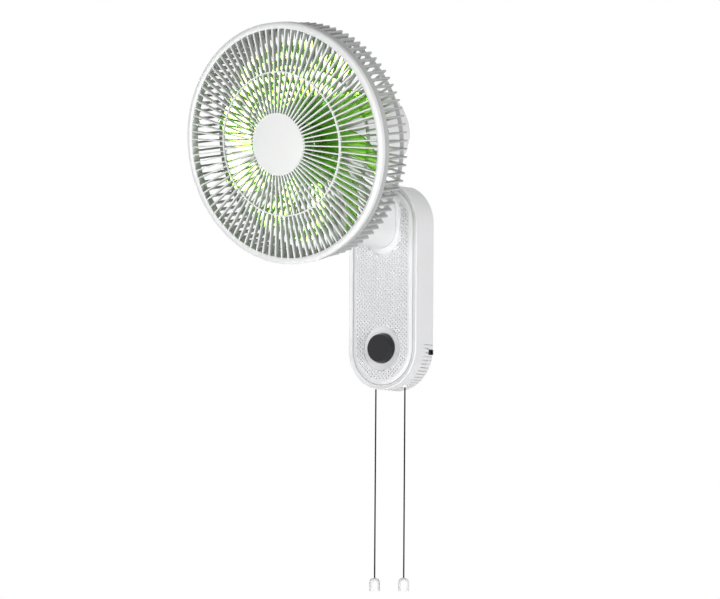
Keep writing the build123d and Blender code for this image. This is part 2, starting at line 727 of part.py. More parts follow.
def neck_screw_form(x, y):
    """Countersunk screw through the neck's flange into the back plate's pillar."""
    top = FLANGE_BACK + FLANGE_THICKNESS
    head = Cone(NECK_SCREW_RADIUS, NECK_SCREW_HEAD_RADIUS, NECK_SCREW_HEAD)
    return rod(NECK_SCREW_RADIUS, BACK_FRONT, top, x, y) + Pos(x, y, top - NECK_SCREW_HEAD / 2) * head


def neck():
    """Hollow neck, screwed to the back plate's pillars, with two ears for the tilt bolt."""
    body = neck_form(0.0)
    body += extrude(Pos(0, 0, FLANGE_BACK) * neck_slot(FLANGE_EDGE), FLANGE_THICKNESS)
    inner = BARREL_LENGTH / 2 + EAR_GAP
    foot = NECK_SHOULDER - NECK_WALL
    near, far = PIVOT_REACH - EAR_RADIUS, PIVOT_REACH + EAR_RADIUS
    for low, high in ((inner, inner + EAR_THICKNESS), (-inner - EAR_THICKNESS, -inner)):
        body += axle(EAR_RADIUS, low, high, PIVOT_HEIGHT, PIVOT_REACH)
        body += block(low, high, foot, PIVOT_HEIGHT, near, far)
    hollow = neck_form(-NECK_WALL)
    hollow += extrude(neck_slot(-NECK_WALL), PANEL_DEPTH)
    body -= hollow
    body -= axle(TILT_BOLT_RADIUS, -PANEL_WIDTH, PANEL_WIDTH, PIVOT_HEIGHT, PIVOT_REACH)
    return body.cut(*[neck_screw_form(x, y) for x, y in neck_posts()])


def neck_screws():
    return Compound([neck_screw_form(x, y) for x, y in neck_posts()])


def tilt_bolt():
    outside = BARREL_LENGTH / 2 + EAR_GAP + EAR_THICKNESS
    end = outside + TILT_HEAD
    body = axle(TILT_BOLT_RADIUS, -end, outside, PIVOT_HEIGHT, PIVOT_REACH)
    return body + axle(TILT_HEAD_RADIUS, outside, end, PIVOT_HEIGHT, PIVOT_REACH)


def tilt_nut():
    outside = BARREL_LENGTH / 2 + EAR_GAP + EAR_THICKNESS
    hexagon = extrude(RegularPolygon(TILT_HEAD_RADIUS, 6), TILT_HEAD)
    body = Pos(-outside, PIVOT_HEIGHT, PIVOT_REACH) * Rot(0, -90, 0) * hexagon
    return body - axle(TILT_BOLT_RADIUS, -PANEL_WIDTH, 0, PIVOT_HEIGHT, PIVOT_REACH)


# ---------------------------------------------------------------- tilting yoke
def tilt_yoke():
    """Barrel between the neck's ears, with the turntable that the head turns on."""
    level = -SHAFT_ABOVE_PIVOT
    half = BARREL_LENGTH / 2
    body = axle(BARREL_RADIUS, -half, half, level, PAN_Z)
    body += post(YOKE_POST_RADIUS, level, TURNTABLE_TOP, 0, PAN_Z)
    body += post(TURNTABLE_RADIUS, TURNTABLE_TOP - TURNTABLE_THICKNESS, TURNTABLE_TOP, 0, PAN_Z)
    body -= axle(TILT_BOLT_RADIUS + RUNNING, -2 * half, 2 * half, level, PAN_Z)
    return body - pan_spindle()


def pan_spindle():
    """Steel pin that the head turns on, seated in the yoke."""
    return post(SPINDLE_RADIUS, TURNTABLE_TOP - SPINDLE_SEAT, SPINDLE_TOP, 0, PAN_Z)


def osc_rocker():
    """Arm on the spindle, with the short pin that the link ends above."""
    body = post(ROCKER_HUB, ROCKER_BOTTOM, ROCKER_TOP, 0, PAN_Z)
    half = LINK_WIDTH / 2
    body += block(0, ROCKER_ARM, ROCKER_BOTTOM, ROCKER_TOP, PAN_Z - half, PAN_Z + half)
    body += post(half, ROCKER_BOTTOM, ROCKER_TOP, ROCKER_ARM, PAN_Z)
    body += post(PIN_RADIUS, ROCKER_TOP, SPINDLE_TOP, ROCKER_ARM, PAN_Z)
    return body - pan_spindle()


def spindle_clip():
    ring = post(CLIP_RADIUS, ROCKER_TOP, SPINDLE_TOP, 0, PAN_Z)
    return ring - pan_spindle()


# ---------------------------------------------------------------- oscillation drive
def osc_crank():
    """Crank disc with its shaft above and its pin below."""
    body = post(CRANK_DISC, CRANK_BOTTOM, CRANK_TOP, 0, CRANK_Z)
    body += post(CRANK_SHAFT_RADIUS, CRANK_TOP, CRANK_TOP + CRANK_SHAFT_LENGTH, 0, CRANK_Z)
    return body + post(PIN_RADIUS, LINK_BOTTOM, CRANK_BOTTOM, CRANK_THROW, CRANK_Z)


def osc_link():
    """Flat link from the crank's pin to above the rocker's pin."""
    ends = [(CRANK_THROW, CRANK_Z), (ROCKER_ARM, PAN_Z)]
    length = math.hypot(ends[1][0] - ends[0][0], ends[1][1] - ends[0][1])
    turn = math.degrees(math.atan2(ends[1][0] - ends[0][0], ends[1][1] - ends[0][1]))
    bar = extrude(SlotCenterPoint((0, 0), (length / 2, 0), LINK_WIDTH), LINK_THICKNESS)
    bar -= rod(PIN_RADIUS + RUNNING, -1, LINK_THICKNESS + 1, -length / 2)
    bar = Pos(length / 2, 0) * bar
    laid = Rot(0, turn, 0) * Rot(0, -90, 0) * Rot(-90, 0, 0) * bar
    return Pos(CRANK_THROW, LINK_BOTTOM, CRANK_Z) * laid


def osc_motor():
    """Small geared motor on two ears, with a bore for the crank's shaft."""
    body = post(OSC_MOTOR_RADIUS, OSC_BOTTOM, OSC_BOTTOM + OSC_MOTOR_HEIGHT, 0, CRANK_Z)
    top = OSC_BOTTOM + OSC_FLANGE
    near, far = CRANK_Z - OSC_EAR_RADIUS, CRANK_Z + OSC_EAR_RADIUS
    body += block(-OSC_EAR, OSC_EAR, OSC_BOTTOM, top, near, far)
    for x in (-OSC_EAR, OSC_EAR):
        body += post(OSC_EAR_RADIUS, OSC_BOTTOM, top, x, CRANK_Z)
        body -= post(CASE_SCREW_RADIUS, OSC_BOTTOM - 1, top + 1, x, CRANK_Z)
    high = CRANK_TOP + CRANK_SHAFT_LENGTH + 1
    return body - post(CRANK_SHAFT_RADIUS + RUNNING, OSC_BOTTOM - 1, high, 0, CRANK_Z)


def osc_motor_screws():
    screws = []
    top = OSC_BOTTOM + OSC_FLANGE
    for x in (-OSC_EAR, OSC_EAR):
        shank = post(CASE_SCREW_RADIUS, FLOOR_TOP + OSC_SCREW_FLOOR, top, x, CRANK_Z)
        screws.append(shank + post(SCREW_HEAD_RADIUS, top, top + SCREW_HEAD, x, CRANK_Z))
    return Compound(screws)


def head_chassis():
    """Cast bracket: turret for the spindle, floor for the drive, web for the motor."""
    half = CHASSIS_HALF_WIDTH
    body = block(-half, half, FLOOR_LEVEL, FLOOR_TOP, FLOOR_REAR, REAR_BOSS_END)
    body += block(-half, half, FLOOR_LEVEL, CHASSIS_TOP, CHASSIS_REAR, REAR_BOSS_END)
    reach = COVER_POST_X + COVER_POST_RADIUS
    arm = COVER_POST_RADIUS
    body += block(-reach, reach, -arm, arm, CHASSIS_REAR, REAR_BOSS_END)
    body += post(TURRET_RADIUS, TURRET_BOTTOM, FLOOR_TOP, 0, PAN_Z)
    for x in (-OSC_EAR, OSC_EAR):
        body += post(OSC_EAR_RADIUS, FLOOR_TOP, OSC_BOTTOM, x, CRANK_Z)
        body -= post(CASE_SCREW_RADIUS, FLOOR_TOP + OSC_SCREW_FLOOR, OSC_BOTTOM + 1, x, CRANK_Z)
    for x in (-COVER_POST_X, COVER_POST_X):
        body += rod(COVER_POST_RADIUS, COVER_POST_REAR, REAR_BOSS_END, x)
        screw_end = COVER_POST_REAR + COVER_SCREW_LENGTH
        body -= rod(COVER_SCREW_RADIUS, COVER_POST_REAR - 1, screw_end, x)
    body -= post(PAN_BUSH_RADIUS, TURRET_BOTTOM - 1, FLOOR_TOP + 1, 0, PAN_Z)
    body -= rod(REAR_BOSS_RADIUS / 2, CHASSIS_REAR - 1, REAR_BOSS_END + 1)
    for x, y in on_circle(THROUGH_BOLT_CIRCLE, THROUGH_BOLTS, THROUGH_BOLT_PHASE):
        body -= rod(SCREW_HEAD_RADIUS, CHASSIS_REAR - 1, REAR_BOSS_END + 1, x, y)
    # the link's end swings through this window
    near, far = CHASSIS_REAR - 1, REAR_BOSS_END + 1
    return body - block(-LINK_WIDTH, 3 * LINK_WIDTH, FLOOR_TOP, CRANK_TOP, near, far)


def pan_bush():
    ring = post(PAN_BUSH_RADIUS, TURRET_BOTTOM, FLOOR_TOP, 0, PAN_Z)
    return ring - post(SPINDLE_RADIUS + RUNNING, TURRET_BOTTOM - 1, FLOOR_TOP + 1, 0, PAN_Z)


# ---------------------------------------------------------------- motor
def bolt_holes():
    points = on_circle(THROUGH_BOLT_CIRCLE, THROUGH_BOLTS, THROUGH_BOLT_PHASE)
    return [rod(THROUGH_BOLT_RADIUS, REAR_BOSS_END, NOSE_FRONT, x, y) for x, y in points]


def front_end_frame():
    """Motor's front frame, whose nose holds the bearing and the guard's nut."""
    body = tube(FRAME_RADIUS, FRAME_RADIUS - FRAME_WALL, STATOR_FRONT, FRAME_FRONT)
    body += rod(FRAME_RADIUS, FRAME_FRONT - FRAME_WALL, FRAME_FRONT)
    body += rod(NOSE_RADIUS, FRAME_FRONT, NOSE_FRONT)
    body -= rod(BEARING_RADIUS, STATOR_FRONT, NOSE_FRONT + 1)
    return body.cut(*bolt_holes())


def rear_end_frame():
    body = tube(FRAME_RADIUS, FRAME_RADIUS - FRAME_WALL, FRAME_REAR, STATOR_REAR)
    body += rod(FRAME_RADIUS, FRAME_REAR, FRAME_REAR + FRAME_WALL)
    body += rod(REAR_BOSS_RADIUS, REAR_BOSS_END, FRAME_REAR)
    body -= rod(BEARING_RADIUS, REAR_BOSS_END - 1, FRAME_REAR + FRAME_WALL + 1)
    return body.cut(*bolt_holes())


def stator_core():
    body = tube(FRAME_RADIUS, ROTOR_RADIUS + AIR_GAP, STATOR_REAR, STATOR_FRONT)
    return body.cut(*bolt_holes())


def stator_coils():
    front = tube(COIL_OUTER, COIL_INNER, STATOR_FRONT, STATOR_FRONT + COIL_DEPTH)
    rear = tube(COIL_OUTER, COIL_INNER, STATOR_REAR - COIL_DEPTH, STATOR_REAR)
    return Compound([front, rear])


def through_bolts():
    bolts = []
    for x, y in on_circle(THROUGH_BOLT_CIRCLE, THROUGH_BOLTS, THROUGH_BOLT_PHASE):
        shank = rod(THROUGH_BOLT_RADIUS, FRAME_REAR, FRAME_FRONT, x, y)
        head = rod(2 * THROUGH_BOLT_RADIUS, FRAME_REAR - BOLT_HEAD, FRAME_REAR, x, y)
        bolts.append(shank + head)
    return Compound(bolts)


def front_bearing():
    front = NOSE_FRONT - BEARING_SINK
    return tube(BEARING_RADIUS, SHAFT_RADIUS + RUNNING, front - FRONT_BEARING_LENGTH, front)


def rear_bearing():
    return tube(BEARING_RADIUS, SHAFT_RADIUS + RUNNING, REAR_BOSS_END, FRAME_REAR + FRAME_WALL)


def motor_shaft():
    return rod(SHAFT_RADIUS, REAR_BOSS_END + RUNNING, SHAFT_FRONT)


def rotor():
    return rod(ROTOR_RADIUS, STATOR_REAR, STATOR_FRONT) - motor_shaft()


def motor_front_housing():
    """Front half of the motor's cover, behind the rear grille's hub."""
    rear = HOUSING_SEAM + SEAM / 2
    outer = rod(HOUSING_RADIUS, rear, HOUSING_FRONT)
    outer = fillet(outer.edges().group_by(Axis.Z)[-1], HOUSING_FRONT_ROUND)
    inner = rod(HOUSING_RADIUS - HOUSING_WALL, rear - 1, HOUSING_FRONT - HOUSING_WALL)
    inner = fillet(inner.edges().group_by(Axis.Z)[-1], HOUSING_FRONT_ROUND - HOUSING_WALL)
    return outer - inner - rod(NOSE_RADIUS + FIT, rear, 0)


def motor_rear_housing():
    """Rear half of the motor's cover, round at the back and open for the turret."""
    front = HOUSING_SEAM - SEAM / 2
    outer = rod(HOUSING_RADIUS, HOUSING_REAR, front)
    outer = fillet(outer.edges().group_by(Axis.Z)[0], HOUSING_REAR_ROUND)
    inner = rod(HOUSING_RADIUS - HOUSING_WALL, HOUSING_REAR + HOUSING_WALL, front + 1)
    inner = fillet(inner.edges().group_by(Axis.Z)[0], HOUSING_REAR_ROUND - HOUSING_WALL)
    body = outer - inner
    for x in (-COVER_POST_X, COVER_POST_X):
        boss = rod(COVER_BOSS_RADIUS, HOUSING_REAR, COVER_POST_REAR - FIT, x)
        body += boss & outer
        body -= rod(COVER_SCREW_RADIUS, HOUSING_REAR - 1, COVER_POST_REAR, x)
        seat = COVER_POST_REAR - COVER_SCREW_SEAT
        body -= rod(SCREW_HEAD_RADIUS + FIT, HOUSING_REAR - 1, seat, x)
    level = TURRET_BOTTOM - 2 * HOUSING_WALL
    return body - post(TURRET_RADIUS + FIT, level, FLOOR_LEVEL, 0, PAN_Z)


def cover_screws():
    screws = []
    seat = COVER_POST_REAR - COVER_SCREW_SEAT
    for x in (-COVER_POST_X, COVER_POST_X):
        head = rod(SCREW_HEAD_RADIUS, seat - SCREW_HEAD, seat, x)
        screws.append(head + rod(COVER_SCREW_RADIUS, seat, seat + COVER_SCREW_LENGTH, x))
    return Compound(screws)


# ---------------------------------------------------------------- guard
def spoke_front(radius):
    """Height of the front guard's face at a radius."""
    if radius < MID_RING_RADIUS:
        part = (radius - BADGE_RADIUS) / (MID_RING_RADIUS - BADGE_RADIUS)
        inner = BADGE_PROUD - SPOKE_SINK_INNER
        return inner + part * (MID_RING_PROUD - inner)
    part = (radius - MID_RING_RADIUS) / (RIM_INNER - MID_RING_RADIUS)
    return MID_RING_PROUD - part * (MID_RING_PROUD + SPOKE_SINK_OUTER)


def spoke_depth(radius):
    """A spoke's depth at a radius: it grows from the centre disc to the rim."""
    part = (radius - BADGE_RADIUS) / (RIM_INNER - BADGE_RADIUS)
    return SPOKE_DEPTH_HUB + part * (SPOKE_DEPTH_RIM - SPOKE_DEPTH_HUB)


def spoke(inner, outer):
    front_in, front_out = spoke_front(inner), spoke_front(outer)
    corners = [
        (inner, front_in),
        (outer, front_out),
        (outer, front_out - spoke_depth(outer)),
        (inner, front_in - spoke_depth(inner)),
    ]
    bar = fin(corners, SPOKE_THICKNESS)
    middle = (front_in + front_out) / 2
    return fillet(long_edges(bar, lambda at: abs(at.Z - middle) < NEAR), SPOKE_ROUND)


def guard_screw_points():
    return on_circle(GUARD_SCREW_CIRCLE, GUARD_SCREWS, GUARD_SCREW_PHASE)


def front_grille():
    """Front guard: crowned rim, two zones of spokes, a middle ring and a centre disc."""
    face_inner = (RIM_INNER, -RIM_CROWN)
    face_outer = (GUARD_RADIUS, -RIM_EDGE)
    top = ThreePointArc(face_inner, (RIM_CREST, 0), face_outer)
    outer_wall = GUARD_RADIUS - RIM_WALL
    inner_wall = RIM_INNER + RIM_WALL
    rest = Polyline(
        face_outer,
        (GUARD_RADIUS, -FRONT_RIM_DEPTH),
        (outer_wall, -FRONT_RIM_DEPTH),
        (outer_wall, -RIM_EDGE - RIM_WALL),
        (inner_wall, -RIM_EDGE - RIM_WALL),
        (inner_wall, -INNER_WALL_DEPTH),
        (RIM_INNER, -INNER_WALL_DEPTH),
        face_inner,
    )
    rim = revolve(Plane.XZ * make_face(top + rest), Axis.Z)
    half = MID_RING_WIDTH / 2
    ring_back = MID_RING_PROUD - MID_RING_DEPTH
    mid_ring = tube(MID_RING_RADIUS + half, MID_RING_RADIUS - half, ring_back, MID_RING_PROUD)
    edge = BADGE_RADIUS + CENTRE_EDGE
    seat = BADGE_BACK - FIT
    centre = rod(edge, seat - CENTRE_DISC, seat)
    centre += tube(edge, BADGE_RADIUS - CENTRE_WALL, BADGE_PROUD - SPOKE_DEPTH_HUB, seat)
    lap = MID_RING_WIDTH / 4
    spokes = around(spoke(BADGE_RADIUS + CENTRE_EDGE / 2, MID_RING_RADIUS + lap), INNER_SPOKES)
    outer_spoke = spoke(MID_RING_RADIUS - lap, RIM_INNER + RIM_WALL / 2)
    spokes += around(outer_spoke, OUTER_SPOKES, OUTER_PHASE)
    pads = [
        rod(GUARD_PAD_RADIUS, -INNER_WALL_DEPTH, -RIM_EDGE - RIM_WALL / 2, x, y)
        for x, y in guard_screw_points()
    ]
    holes = [
        rod(GUARD_SCREW_RADIUS, -RIM_DEPTH, -RIM_EDGE - 2 * RIM_WALL, x, y)
        for x, y in guard_screw_points()
    ]
    return rim.fuse(mid_ring, centre, *spokes, *pads).cut(*holes)


def badge_cap():
    """Plain domed cap over the guard's centre."""
    edge = BADGE_PROUD - BADGE_CROWN
    middle = (BADGE_DOME_RADIUS, BADGE_PROUD - BADGE_DOME_DROP)
    dome = ThreePointArc((0, BADGE_PROUD), middle, (BADGE_RADIUS, edge))
    rest = Polyline((BADGE_RADIUS, edge), (BADGE_RADIUS, BADGE_BACK), (0, BADGE_BACK), (0, BADGE_PROUD))
    return revolve(Plane.XZ * make_face(dome + rest), Axis.Z)


def basket_rib():
    """A rear rib that runs back from the rim and turns in at the basket's corner."""
    back = -BASKET_DEPTH
    rim = -RIM_DEPTH + RIM_WALL / 2
    inside = MID_RING_RADIUS - MID_RING_WIDTH / 4
    corners = [
        (BASKET_RADIUS, rim),
        (BASKET_RADIUS, back + RIB_CORNER),
        (BASKET_RADIUS - RIB_CORNER, back),
        (inside, back),
        (inside, back + RIB),
        (BASKET_RADIUS - RIB, back + RIB),
        (BASKET_RADIUS - RIB, rim),
    ]
    bar = fin(corners, RIB_THICKNESS)
    third = RIB / 3
    edges = long_edges(bar, lambda at: at.X > BASKET_RADIUS - third or at.Z < back + third)
    return fillet(edges, RIB_ROUND)


def inner_rib():
    back = -BASKET_DEPTH
    low, high = HUB_DISC_RADIUS - 1, MID_RING_RADIUS + MID_RING_WIDTH / 4
    corners = [(low, back), (high, back), (high, back + RIB), (low, back + HUB_DISC_THICKNESS)]
    bar = fin(corners, RIB_THICKNESS)
    return fillet(long_edges(bar, lambda at: at.Z < back + NEAR), RIB_ROUND)


def rear_grille():
    """Rear guard: rim, basket of ribs with a corner hoop, middle ring and hub disc."""
    back = -BASKET_DEPTH
    outer_wall = GUARD_RADIUS - RIM_WALL
    low = BASKET_RADIUS - RIM_LEDGE
    rim = turned([
        (GUARD_RADIUS, -FRONT_RIM_DEPTH - SEAM),
        (GUARD_RADIUS, -RIM_DEPTH),
        (low, -RIM_DEPTH),
        (low, -RIM_DEPTH + RIM_WALL),
        (outer_wall, -RIM_DEPTH + RIM_WALL),
        (outer_wall, -FRONT_RIM_DEPTH - SEAM),
    ])
    hoop_back = back + HOOP_SINK
    hoop = tube(HOOP_OUTER, HOOP_INNER, hoop_back, hoop_back + HOOP_THICKNESS)
    half = MID_RING_WIDTH / 2
    mid_ring = tube(MID_RING_RADIUS + half, MID_RING_RADIUS - half, back, back + RIB)
    hub = tube(HUB_DISC_RADIUS, NOSE_RADIUS + FIT, back, back + HUB_DISC_THICKNESS)
    ribs = around(basket_rib(), OUTER_SPOKES)
    ribs += around(inner_rib(), INNER_SPOKES)
    lugs = [
        rod(GUARD_PAD_RADIUS, -RIM_DEPTH, -RIM_DEPTH + RIM_WALL, x, y)
        for x, y in guard_screw_points()
    ]
    holes = [
        rod(GUARD_SCREW_RADIUS, -RIM_DEPTH - 1, -FRONT_RIM_DEPTH, x, y)
        for x, y in guard_screw_points()
    ]
    return rim.fuse(hoop, mid_ring, hub, *ribs, *lugs).cut(*holes)


def guard_screws():
    screws = []
    for x, y in guard_screw_points():
        head = rod(GUARD_SCREW_HEAD, -RIM_DEPTH - SCREW_HEAD, -RIM_DEPTH, x, y)
        screws.append(head + rod(GUARD_SCREW_RADIUS, -RIM_DEPTH, -RIM_EDGE - 3 * RIM_WALL, x, y))
    return Compound(screws)


def guard_nut():
    """Lugged nut on the motor's nose that holds the rear guard."""
    low = -BASKET_DEPTH + HUB_DISC_THICKNESS + RUNNING
    body = tube(NUT_RADIUS, NOSE_RADIUS, low, low + NUT_THICKNESS)
    places = on_circle(NUT_RADIUS + NUT_NOTCH_OUT, NUT_NOTCHES)
    return body.cut(*[rod(NUT_NOTCH, low - 1, low + NUT_THICKNESS + 1, x, y) for x, y in places])


# ---------------------------------------------------------------- impeller
def blade_section(share):
    """A thin cambered section of the blade, from its root (0) to its tip (1)."""
    root, tip = HUB_RADIUS - 2 * HUB_WALL, BLADE_TIP_RADIUS + BLADE_TRIM
    radius = root + share * (tip - root)
    chord = BLADE_ROOT_CHORD + (BLADE_TIP_CHORD - BLADE_ROOT_CHORD) * math.sin(share * math.pi / 2)
    pitch = math.radians(BLADE_ROOT_PITCH + (BLADE_TIP_PITCH - BLADE_ROOT_PITCH) * share**PITCH_EASE)
    sweep = math.radians(BLADE_SWEEP * share**SWEEP_EASE)
    across = Vector(math.cos(pitch), math.sin(pitch))
    normal = Vector(-math.sin(pitch), math.cos(pitch))
    lead, trail = across * (-chord / 2), across * (chord / 2)
    belly = normal * -BLADE_CAMBER
    lift = normal * BLADE_THICKNESS
    lower = ThreePointArc(lead, belly, trail)
    upper = ThreePointArc(trail + lift, belly + lift, lead + lift)
    outline = make_face([lower, Line(trail, trail + lift), upper, Line(lead + lift, lead)])
    out = Vector(math.cos(sweep), math.sin(sweep), 0)
    along = Vector(-math.sin(sweep), math.cos(sweep), 0)
    return Plane(origin=out * radius + Vector(0, 0, BLADE_CENTRE), x_dir=along, z_dir=out) * outline


def impeller():
    """Hub cup with ten swept, sickle-shaped blades."""
    sections = [blade_section(i / (BLADE_STATIONS - 1)) for i in range(BLADE_STATIONS)]
    blade = loft(sections)
    blade &= rod(BLADE_TIP_RADIUS, HUB_REAR - HUB_RADIUS, 0)
    blade -= rod(HUB_RADIUS - HUB_WALL / 2, HUB_REAR - HUB_RADIUS, 0)
    hub = rod(HUB_RADIUS, HUB_REAR, HUB_FRONT)
    hub = fillet(hub.edges().group_by(Axis.Z)[-1], HUB_ROUND)
    hollow = rod(HUB_RADIUS - HUB_WALL, HUB_REAR - 1, HUB_FRONT - HUB_WALL)
    hollow = fillet(hollow.edges().group_by(Axis.Z)[-1], HUB_ROUND - HUB_WALL)
    hub -= hollow
    hub += rod(HUB_BOSS_RADIUS, HUB_BOSS_REAR, HUB_FRONT - HUB_WALL / 2)
    hub = hub.fuse(*around(blade, BLADE_COUNT, BLADE_PHASE))
    return hub - motor_shaft()


def spinner_nut():
    """Cap nut that holds the hub on the shaft."""
    body = rod(SPINNER_RADIUS, HUB_FRONT, SPINNER_FRONT)
    body = fillet(body.edges().group_by(Axis.Z)[-1], SPINNER_LENGTH / 3)
    places = on_circle(SPINNER_RADIUS, SPINNER_NOTCHES)
    body = body.cut(*[rod(SPINNER_NOTCH, HUB_FRONT - 1, SPINNER_FRONT + 1, x, y) for x, y in places])
    return body - motor_shaft()


# ---------------------------------------------------------------- every node
def main():
    os.makedirs("parts", exist_ok=True)
    base = [
        wall_bracket, back_plate, base_housing, case_screws, front_plate, mains_gland,
        timer_unit, timer_shaft, knob, cord_bushes, terminal_block, run_capacitor,
        neck, neck_screws, tilt_bolt, tilt_nut,
    ]
    head = [
        tilt_yoke, pan_spindle, osc_rocker, spindle_clip, osc_crank, osc_link, osc_motor,
        osc_motor_screws, head_chassis, pan_bush, front_end_frame, rear_end_frame,
        stator_core, stator_coils, through_bolts, front_bearing, rear_bearing,
        motor_shaft, rotor, motor_front_housing, motor_rear_housing, cover_screws,
        front_grille, badge_cap, rear_grille, guard_screws, guard_nut, impeller, spinner_nut,
    ]
    for make in base:
        save(PANEL, make(), make.__name__)
    for make in head:
        save(SHAFT, make(), make.__name__)
    for name, x in (("speed", -CORD_X), ("swing", CORD_X)):
        save(PANEL, pull_switch(x), name + "_switch")
        save(PANEL, pull_plunger(x), name + "_plunger")
        save(PANEL, pull_spring(x), name + "_spring")
        save(PANEL, pull_cord(x), name + "_cord")
        save(PANEL, cord_bell(x), name + "_bell")


main()
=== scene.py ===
"""Wall mounted fan: materials, dressed pieces, studio and camera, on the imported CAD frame."""

import json
import math

import bmesh
import bpy
from mathutils import Matrix, Vector
from mathutils.geometry import delaunay_2d_cdt


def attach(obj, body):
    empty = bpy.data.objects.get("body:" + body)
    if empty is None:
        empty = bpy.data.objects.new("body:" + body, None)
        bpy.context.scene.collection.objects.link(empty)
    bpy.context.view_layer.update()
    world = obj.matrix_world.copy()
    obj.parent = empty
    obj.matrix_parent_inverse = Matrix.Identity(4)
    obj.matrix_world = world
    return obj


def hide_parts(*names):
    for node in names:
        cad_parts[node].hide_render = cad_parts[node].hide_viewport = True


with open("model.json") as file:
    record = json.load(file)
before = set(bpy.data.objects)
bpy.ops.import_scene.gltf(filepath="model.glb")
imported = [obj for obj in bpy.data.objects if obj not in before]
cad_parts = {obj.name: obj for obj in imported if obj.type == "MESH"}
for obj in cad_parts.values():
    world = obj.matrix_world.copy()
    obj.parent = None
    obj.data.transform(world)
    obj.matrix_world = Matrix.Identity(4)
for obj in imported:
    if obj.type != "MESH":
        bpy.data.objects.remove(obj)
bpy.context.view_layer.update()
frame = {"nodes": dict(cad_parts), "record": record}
NODES = frame["nodes"]

MM = 0.001
TAU = 2 * math.pi

# ---------------------------------------------------------------- shared sizes, in millimetres
HEAD_TILT = math.radians(10.3)
PANEL_HALF = 58.0
ARC = 87.5
CORD_X = 25.0


def on_panel(x, up, out):
    """A point of the wall case: out is the distance from the wall."""
    return Vector((x, -out, up)) * MM


# ---------------------------------------------------------------- camera
AZIMUTH = math.radians(35.99)
ELEVATION = math.radians(-4.72)
ROLL = math.radians(0.42)
DISTANCE = 5643.59
SIDEWAYS = -56.0
RISE = -15.72
SENSOR_WIDTH = 36
LENS = 200
NEAREST = 0.1
FARTHEST = 100

ray = Vector((
    math.sin(AZIMUTH) * math.cos(ELEVATION),
    -math.cos(AZIMUTH) * math.cos(ELEVATION),
    math.sin(ELEVATION),
))
level_right = (-ray).cross(Vector((0, 0, 1))).normalized()
level_up = level_right.cross(-ray)
right = math.cos(ROLL) * level_right + math.sin(ROLL) * level_up
up = -math.sin(ROLL) * level_right + math.cos(ROLL) * level_up
camera_data = bpy.data.cameras.new("camera")
camera_data.sensor_fit = "HORIZONTAL"
camera_data.sensor_width = SENSOR_WIDTH
camera_data.lens = LENS
camera_data.clip_start = NEAREST
camera_data.clip_end = FARTHEST
camera = bpy.data.objects.new("camera", camera_data)
bpy.context.scene.collection.objects.link(camera)
turn = Matrix((right, up, ray)).transposed().to_4x4()
place = (ray * DISTANCE + SIDEWAYS * right + RISE * up) * MM
camera.matrix_world = Matrix.Translation(place) @ turn
bpy.context.scene.camera = camera


# ---------------------------------------------------------------- materials
FINE_RELIEF = 0.04 * MM


def new_material(name):
    material = bpy.data.materials.new(name)
    material.use_nodes = True
    tree = material.node_tree
    shader = tree.nodes["Principled BSDF"]
    return material, tree, shader


def noise(tree, scale, detail=2.0, roughness=0.5, stretch=None):
    """Noise in the object's own coordinates, in metres."""
    coordinates = tree.nodes.new("ShaderNodeTexCoord")
    source = coordinates.outputs["Object"]
    if stretch:
        mapping = tree.nodes.new("ShaderNodeMapping")
        mapping.inputs["Scale"].default_value = stretch
        tree.links.new(source, mapping.inputs["Vector"])
        source = mapping.outputs["Vector"]
    texture = tree.nodes.new("ShaderNodeTexNoise")
    texture.inputs["Scale"].default_value = scale
    texture.inputs["Detail"].default_value = detail
    texture.inputs["Roughness"].default_value = roughness
    tree.links.new(source, texture.inputs["Vector"])
    return texture.outputs["Fac"]


def ramp(tree, source, low, high, colours):
    """Two colours or greys between two levels of a source."""
    node = tree.nodes.new("ShaderNodeValToRGB")
    first, last = node.color_ramp.elements
    first.position, last.position = low, high
    first.color, last.color = [(*colour, 1) for colour in colours]
    tree.links.new(source, node.inputs["Fac"])
    return node.outputs["Color"]


def grey(level):
    return (level, level, level)


def shade(colour, factor):
    return tuple(min(1.0, channel * factor) for channel in colour)


def add_bump(tree, shader, height, strength, distance):
    node = tree.nodes.new("ShaderNodeBump")
    node.inputs["Strength"].default_value = strength
    node.inputs["Distance"].default_value = distance
    tree.links.new(height, node.inputs["Height"])
    tree.links.new(node.outputs["Normal"], shader.inputs["Normal"])


def plastic(name, colour, rough, grain=1500.0, shine=0.5):
    """Moulded plastic: slow drift of tone and gloss, over a fine spark-eroded grain."""
    material, tree, shader = new_material(name)
    slow = noise(tree, 14.0, 3.0)
    tone = ramp(tree, slow, 0.3, 0.7, [shade(colour, 0.985), shade(colour, 1.005)])
    tree.links.new(tone, shader.inputs["Base Color"])
    patches = noise(tree, 24.0, 1.0, 0.4)
    gloss = ramp(tree, patches, 0.1, 0.9, [grey(rough - 0.015), grey(rough + 0.025)])
    tree.links.new(gloss, shader.inputs["Roughness"])
    add_bump(tree, shader, noise(tree, grain, 2.0, 0.6), 0.25, FINE_RELIEF)
    shader.inputs["Specular IOR Level"].default_value = shine
    return material


def metal(name, colour, rough=0.3, stretch=(1.0, 1.0, 12.0), scale=420.0):
    """Drawn or plated metal with fine streaks."""
    material, tree, shader = new_material(name)
    streaks = noise(tree, scale, 3.0, 0.6, stretch)
    tone = ramp(tree, streaks, 0.25, 0.75, [shade(colour, 0.82), shade(colour, 1.06)])
    tree.links.new(tone, shader.inputs["Base Color"])
    gloss = ramp(tree, streaks, 0.2, 0.8, [grey(rough - 0.08), grey(rough + 0.12)])
    tree.links.new(gloss, shader.inputs["Roughness"])
    add_bump(tree, shader, streaks, 0.2, FINE_RELIEF)
    shader.inputs["Metallic"].default_value = 1.0
    return material


